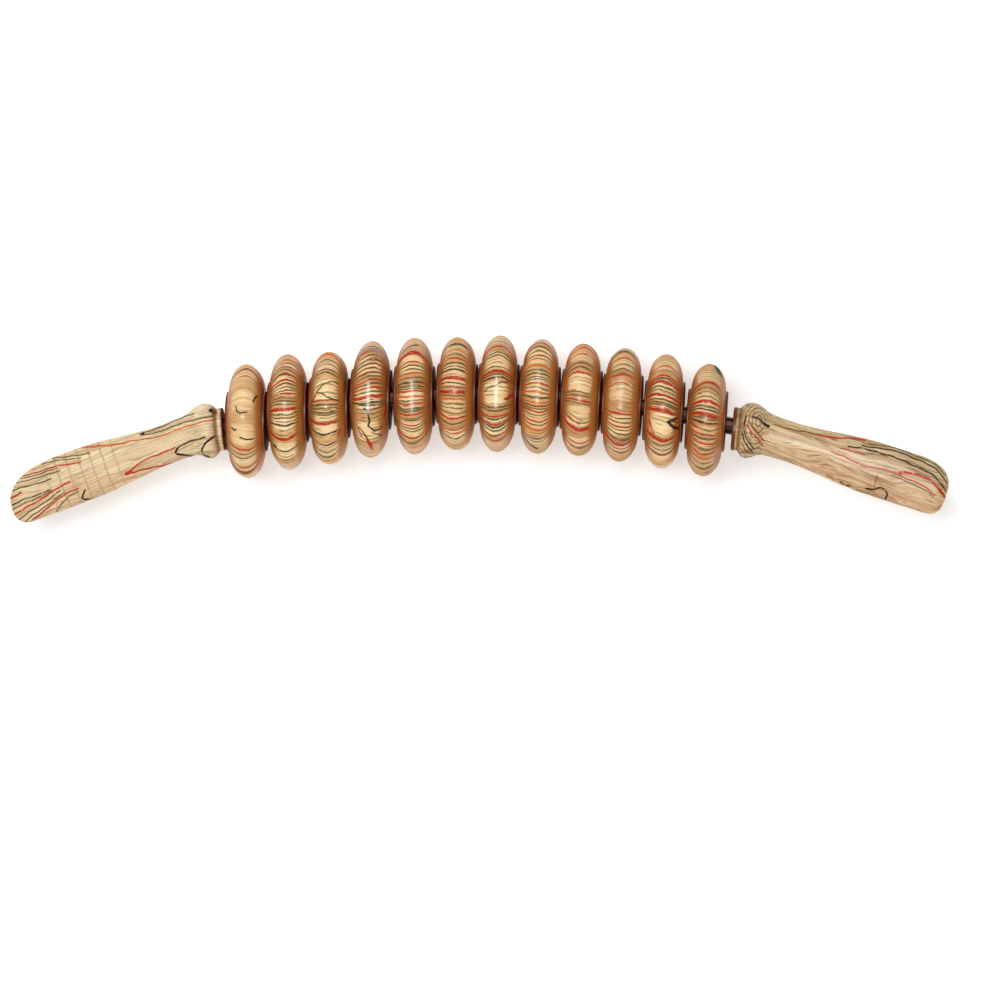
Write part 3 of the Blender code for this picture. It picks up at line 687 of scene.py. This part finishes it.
# Stations along the spine, both half widths, half depth and squareness of the superelliptic sections.
def gripSections(form, shape):
    length = form["length"]
    u = np.linspace(0.0, 1.0, 60)
    s = np.concatenate([np.linspace(0.0, 0.4, 4), np.linspace(0.7, 2.4, 6), np.linspace(2.6, 17.0, 46),
                        np.linspace(17.4, length - 14.4, 130), length - 14.0 * (1 - u) ** 2])
    collarS, collarR = np.array(shape["collar"]).T
    dense = np.linspace(0.0, collarS[-1], 481)
    turned = np.interp(dense, collarS, collarR)
    kernel = np.hanning(17)
    softened = np.convolve(np.pad(turned, 8, "edge"), kernel / kernel.sum(), "valid")
    collar = np.where(dense < 0.8, turned, np.minimum(softened, turned.max()))
    half = np.interp(s, dense, collar)
    widening = smoothStep((s - shape["gripStart"]) / (shape["gripFull"] - shape["gripStart"]))
    halfWidth = half + (shape["gripHalf"] - shape["neck"]) * widening
    halfDepth = half + (form["gripDepth"] - shape["neck"]) * widening
    toTip = smoothStep((s - shape["gripFull"]) / (length - shape["gripFull"]))
    halfDepth += (form["tipDepth"] - form["gripDepth"]) * toTip
    tip = np.clip((s - (length - 6)) / 6, 0.0, 1.0)
    halfDepth *= np.sqrt(np.clip(1 - tip ** 2.2, 0.0, 1.0))
    convex = roundedEdge(s, halfWidth, form["convex"], length, form["tipOffset"])
    concave = roundedEdge(s, halfWidth, form["concave"], length, -form["tipOffset"])
    return s, convex, concave, halfDepth, 2 + (shape["squareness"] - 2) * widening


# How far each place (s, w) lies outside the lines of one colour: the least distance to their straight
# parts, less half the line's width. Corners are first cut twice, and lines wander by a slow sine of s.
def layerDistance(places, lines, seed):
    s = places[..., 0]
    w = places[..., 1] + 0.25 * np.sin(s * 0.31 + seed) + 0.12 * np.sin(s * 0.9 + 2 * seed)
    least = np.full(s.shape, 50.0)
    for width, points in lines:
        path = np.array(points)
        for _ in range(2):
            cut = np.stack([0.75 * path[:-1] + 0.25 * path[1:], 0.25 * path[:-1] + 0.75 * path[1:]], axis=1)
            path = np.concatenate([path[:1], cut.reshape(-1, 2), path[-1:]])
        for (x0, y0), (x1, y1) in zip(path[:-1], path[1:]):
            run = (x1 - x0, y1 - y0)
            along = ((s - x0) * run[0] + (w - y0) * run[1]) / (run[0] ** 2 + run[1] ** 2 + 1e-9)
            along = np.clip(along, 0.0, 1.0)
            away = np.hypot(s - x0 - along * run[0], w - y0 - along * run[1])
            least = np.minimum(least, away - width / 2)
    return least


# Superelliptic sections carried along a spine whose lean eases from the collar's to the grip's; the rod's
# socket is a tube from the collar's face along the rod's straight end, closed at its bottom.
def makeHandleMesh(name, form, shape, looks):
    s, convex, concave, halfDepth, squareness = gripSections(form, shape)
    fine = np.linspace(0.0, form["length"], 800)
    easing = smoothStep(fine / shape["spineCurve"])
    lean = np.radians(form["collarLean"] + (form["gripLean"] - form["collarLean"]) * easing)
    step = np.diff(fine, prepend=0.0)
    side = form["side"]
    spineX = np.interp(s, fine, form["face"][0] + side * np.cumsum(np.cos(lean) * step))
    spineY = np.interp(s, fine, form["face"][1] - np.cumsum(np.sin(lean) * step))
    leans = np.interp(s, fine, lean)[:, None]
    angle = np.arange(shape["stepsAround"]) * 2 * pi / shape["stepsAround"]
    power = (2 / squareness)[:, None]
    wide = np.sign(np.cos(angle)) * np.abs(np.cos(angle)) ** power
    deep = np.sign(np.sin(angle)) * np.abs(np.sin(angle)) ** power
    w = ((convex - concave) / 2)[:, None] + ((convex + concave) / 2)[:, None] * wide
    d = halfDepth[:, None] * deep
    outsideX = spineX[:, None] + side * np.sin(leans) * w
    outsideY = spineY[:, None] + np.cos(leans) * w
    outside = np.stack([outsideX, outsideY, d], axis=-1)
    places = np.stack([np.broadcast_to(s[:, None], w.shape), w, d], axis=-1)

    # the socket's rings, the first one laid onto the collar's face
    end = radians(rodForm["endAngle"])
    start = np.array((side * rodForm["bend"] * sin(end), rodForm["bend"] * cos(end) - rodForm["bend"]))
    along = np.array((side * cos(end), -sin(end)))
    across = np.array((-along[1], along[0])) * side
    faceNormal = np.array((side * cos(radians(form["collarLean"])), -sin(radians(form["collarLean"]))))
    toFace = (np.array(form["face"]) - start) @ faceNormal / (along @ faceNormal)
    tube = shape["bore"] * np.cos(angle)[:, None] * across
    slide = -(tube @ faceNormal) / (along @ faceNormal)
    flatRings = [start + (toFace + slide)[:, None] * along + tube]
    flatRings += [start + depth * along + tube for depth in (toFace + 2.0, toFace + 20.0, shape["boreDepth"])]
    rise = shape["bore"] * np.sin(angle)[:, None]
    rings = [np.concatenate([ring, rise], axis=1) for ring in flatRings]
    inside = np.stack(rings[::-1])
    insidePlaces = np.stack([np.broadcast_to(np.array((-3.0, 0.0, 0.0)), ring.shape) + ring * (0, 0, 1)
                             for ring in rings[::-1]])
    points = np.concatenate([inside, outside])
    points = (points + (*rodForm["arcMiddle"], rodForm["height"])) * mm
    allPlaces = np.concatenate([insidePlaces, places])
    mesh = surfaceMesh(name, points, allPlaces, "gripPlace", False, poles=(0, -1))
    for colourName in layerColours:
        lines = [line[1:] for line in looks["lines"] if line[0] == colourName]
        if lines:
            away = layerDistance(allPlaces, lines, looks["seed"]).ravel()
            away = np.concatenate([away, away[:1], away[-1:]])    # the two poles
            stored = mesh.attributes.new(f"{colourName}Layer", "FLOAT", "POINT")
            stored.data.foreach_set("value", away.astype(np.float32))
    return mesh


# Layered wood on a handle: long fine grain, and layer lines drawn by their distance to points along them.
def makeHandleWood(name, looks, tones):
    material, tree, shader = newMaterial(f"layeredWood_{name}")
    place, s, w, d = readPlace(tree, "gripPlace")
    seeded = vec(tree, "ADD", place, (looks["seed"] * 9.1, looks["seed"] * 4.7, looks["seed"] * 2.9))
    slow = noise(tree, vec(tree, "MULTIPLY", seeded, (0.045, 0.11, 0.11)), 1.0, 2.0)
    quick = noise(tree, vec(tree, "MULTIPLY", seeded, (0.25, 0.4, 0.4)), 1.0, 2.0)
    ragged = noise(tree, seeded, 2.2, 3.0, 0.6)

    # tones that follow the length, from cream to a greyer tan, and a pinkish cast low down
    layered = calc(tree, "MULTIPLY_ADD", slow, 7.0, w)
    bands = noise(tree, combine(tree, calc(tree, "MULTIPLY", s, 0.012), calc(tree, "MULTIPLY", layered, 0.5),
                                looks["seed"]), 1.0, 4.0, 0.65)
    base = mix(tree, between(tree, bands, 0.36, 0.64), linear(looks["darker"]), linear(looks["paler"]))
    pink = calc(tree, "MULTIPLY", between(tree, w, 3.0, -6.0), between(tree, s, 12.0, 40.0))
    base = mix(tree, calc(tree, "MULTIPLY", pink, 0.3), base, linear(tones["pinkCast"]))
    grain = noise(tree, combine(tree, calc(tree, "MULTIPLY", s, 0.05), calc(tree, "MULTIPLY", layered, 1.5),
                                calc(tree, "MULTIPLY", d, 0.4)), 1.0, 3.0, 0.6)
    base = mix(tree, between(tree, grain, 0.52, 0.6, 0.0, looks["grain"]), base, linear(tones["grain"]))
    dashes = noise(tree, combine(tree, calc(tree, "MULTIPLY", s, 0.12), calc(tree, "MULTIPLY", layered, 2.4),
                                 calc(tree, "MULTIPLY", d, 0.4)), 1.0, 2.0, 0.6)
    dashed = calc(tree, "MULTIPLY", between(tree, dashes, 0.56, 0.62),
                  calc(tree, "MULTIPLY", pink, looks["dashes"]))
    base = mix(tree, dashed, base, linear(tones["dash"]))

    # growth marks that cross the grip
    crossing = calc(tree, "FRACT", calc(tree, "MULTIPLY_ADD", quick, 0.22, calc(tree, "MULTIPLY", s,
                                                                             1 / tones["markPitch"])))
    mark = between(tree, calc(tree, "ABSOLUTE", calc(tree, "SUBTRACT", crossing, 0.5)), 0.12, 0.05)
    zone = calc(tree, "MULTIPLY", between(tree, s, 46.0, 56.0), between(tree, s, 94.0, 82.0))
    base = mix(tree, calc(tree, "MULTIPLY", calc(tree, "MULTIPLY", mark, zone), 0.42 * looks["marks"]), base,
               linear(tones["mark"]))

    # whorl on the collar's ball
    if looks["whorl"]:
        fromMiddle = vec(tree, "SUBTRACT", place, (11.5, 5.0, 11.0))
        away = vec(tree, "LENGTH", vec(tree, "MULTIPLY", fromMiddle, (1.0, 0.55, 0.6)))
        turns = calc(tree, "MULTIPLY", away, 1 / tones["whorlPitch"])
        ring = calc(tree, "FRACT", calc(tree, "MULTIPLY_ADD", quick, 1.1, turns))
        rings = between(tree, calc(tree, "ABSOLUTE", calc(tree, "SUBTRACT", ring, 0.5)), 0.2, 0.1)
        ball = calc(tree, "MULTIPLY", between(tree, s, 4.2, 5.6), between(tree, s, 17.0, 13.5))
        base = mix(tree, calc(tree, "MULTIPLY", calc(tree, "MULTIPLY", rings, ball), 0.75), base,
                   linear(tones["whorl"]))

    # layer lines, left out along the narrow sides
    notSide = between(tree, calc(tree, "ABSOLUTE", d), 0.3, 1.8)
    gaps = noise(tree, vec(tree, "MULTIPLY", seeded, (0.5, 0.5, 0.5)), 1.0, 2.0)
    shown = calc(tree, "MULTIPLY", between(tree, gaps, 0.34, 0.42, 0.6, 1.0), notSide)
    for colourName in layerColours:
        if any(colourName == line[0] for line in looks["lines"]):
            away = tree.nodes.new("ShaderNodeAttribute")
            away.attribute_name = f"{colourName}Layer"
            rough = calc(tree, "MULTIPLY_ADD", ragged, 0.5, calc(tree, "SUBTRACT", away.outputs["Fac"], 0.25))
            mask = calc(tree, "MULTIPLY", between(tree, rough, 0.24, -0.08), shown)
            base = mix(tree, mask, base, linear(layerColours[colourName][0]))

    # painted shade: the cove behind the end disc is painted brown, and the end face and the socket darker,
    # for the shade in the recess and on the face turned to the wheels
    cove = calc(tree, "MULTIPLY", between(tree, s, 2.1, 2.7), between(tree, s, 4.9, 3.5))
    base = mix(tree, calc(tree, "MULTIPLY", cove, 0.75), base, linear(tones["cove"]))
    face = between(tree, s, looks["faceShadeReach"], looks["faceShadeReach"] - 0.8)
    base = mix(tree, face, base, linear(tones["face"]))

    fibre = noise(tree, vec(tree, "MULTIPLY", seeded, (0.3, 4.0, 4.0)), 1.0, 4.0, 0.65)
    streak = between(tree, fibre, 0.3, 0.7, 0.9, 1.06)
    base = mix(tree, 1.0, base, combine(tree, streak, streak, streak), "MULTIPLY")
    shine = calc(tree, "MULTIPLY_ADD", fibre, 0.2, 0.34)
    lacquer(tree, shader, base, fibre, shine, 0.07)
    return material


for name, form in handleForms.items():
    mesh = makeHandleMesh(f"carved_{name}", form, handleShape, handleLooks[name])
    wood = makeHandleWood(name, handleLooks[name], handleTones)
    addPiece(f"carved_{name}", mesh, wood, "frame", name)
print("handles made")


steelLook = {"tone": "33241c", "darkestTone": "2a1c14", "stainScale": 260.0}


# Drawn steel in a dark brown tone: fine drawn lines and a few darker stretches.
def makeSteel(look):
    material, tree, shader = newMaterial("drawnSteel")
    coords = tree.nodes.new("ShaderNodeTexCoord").outputs["Object"]
    lines = noise(tree, vec(tree, "MULTIPLY", coords, (20.0, 900.0, 900.0)), 1.0, 3.0)
    stains = noise(tree, coords, look["stainScale"], 3.0)
    tone = mix(tree, between(tree, stains, 0.45, 0.65), linear(look["tone"]), linear(look["darkestTone"]))
    join(tree, tone, shader.inputs["Base Color"])
    shader.inputs["Metallic"].default_value = 1.0
    join(tree, calc(tree, "MULTIPLY_ADD", lines, 0.25, 0.2), shader.inputs["Roughness"])
    bump = tree.nodes.new("ShaderNodeBump")
    bump.inputs["Strength"].default_value = 0.3
    bump.inputs["Distance"].default_value = 0.02 * mm
    tree.links.new(lines, bump.inputs["Height"])
    tree.links.new(bump.outputs[0], shader.inputs["Normal"])
    return material


steel = makeSteel(steelLook)
for name in ("axle_rod", "left_rod_pin", "right_rod_pin"):
    node = frame["nodes"][name]
    for materialSlot in node.material_slots:
        materialSlot.material = steel
print("steel on rod and pins")


studio = {
    "floorGlow": 0.25, "world": 0.4,
    "top": {"at": (-0.35, 0.45, 1.5), "size": (1.3, 1.0), "watts": 21.0},
    "front": {"at": (0.5, -1.1, 0.9), "size": (1.0, 0.7), "watts": 7.0},
    "glint": {"at": (0.10, 0.16, 1.9), "size": (0.3, 0.2), "watts": 170.0},
}
cameraSet = {"lens": 200.0, "width": 0.469, "lookAt": (0.0106, -0.0335, 0.0277), "yaw": 3.0}


def makeFloor():
    bpy.ops.mesh.primitive_plane_add(size=8.0)
    floor = bpy.context.object
    floor.name = "studio_floor"
    material, tree, shader = newMaterial("paleFloor")
    shader.inputs["Base Color"].default_value = (0.93, 0.93, 0.93, 1.0)
    shader.inputs["Roughness"].default_value = 0.9
    shader.inputs["Specular IOR Level"].default_value = 0.0
    shader.inputs["Emission Color"].default_value = (1.0, 1.0, 1.0, 1.0)
    shader.inputs["Emission Strength"].default_value = studio["floorGlow"]
    floor.data.materials.append(material)


# The glint shows only as a soft shine on the lacquer: it doesn't light what it falls on.
def addSoftLight(name, setup):
    data = bpy.data.lights.new(name, "AREA")
    data.shape = "RECTANGLE"
    data.size, data.size_y = setup["size"]
    data.energy = setup["watts"]
    lamp = bpy.data.objects.new(name, data)
    bpy.context.scene.collection.objects.link(lamp)
    lamp.location = setup["at"]
    lamp.visible_diffuse = name != "glint"
    lamp.rotation_euler = (Vector(cameraSet["lookAt"]) - lamp.location).to_track_quat("-Z", "Y").to_euler()


# Straight down with a small lean to +X, as far off as makes the frame's width right at the rod's height.
def addCamera(setup):
    data = bpy.data.cameras.new("camera")
    data.lens = setup["lens"]
    data.clip_end = 20.0
    camera = bpy.data.objects.new("camera", data)
    bpy.context.scene.collection.objects.link(camera)
    distance = setup["width"] * setup["lens"] / data.sensor_width
    yaw = radians(setup["yaw"])
    camera.location = Vector(setup["lookAt"]) + distance * Vector((sin(yaw), 0.0, cos(yaw)))
    camera.rotation_euler = (0.0, yaw, 0.0)
    bpy.context.scene.camera = camera


makeFloor()
for lampName in ("top", "front", "glint"):
    addSoftLight(lampName, studio[lampName])
addCamera(cameraSet)
world = bpy.data.worlds.new("studio")
world.use_nodes = True
world.node_tree.nodes["Background"].inputs["Color"].default_value = (1.0, 1.0, 1.0, 1.0)
world.node_tree.nodes["Background"].inputs["Strength"].default_value = studio["world"]
bpy.context.scene.world = world
bpy.context.scene.view_settings.view_transform = "Standard"
print("studio ready")
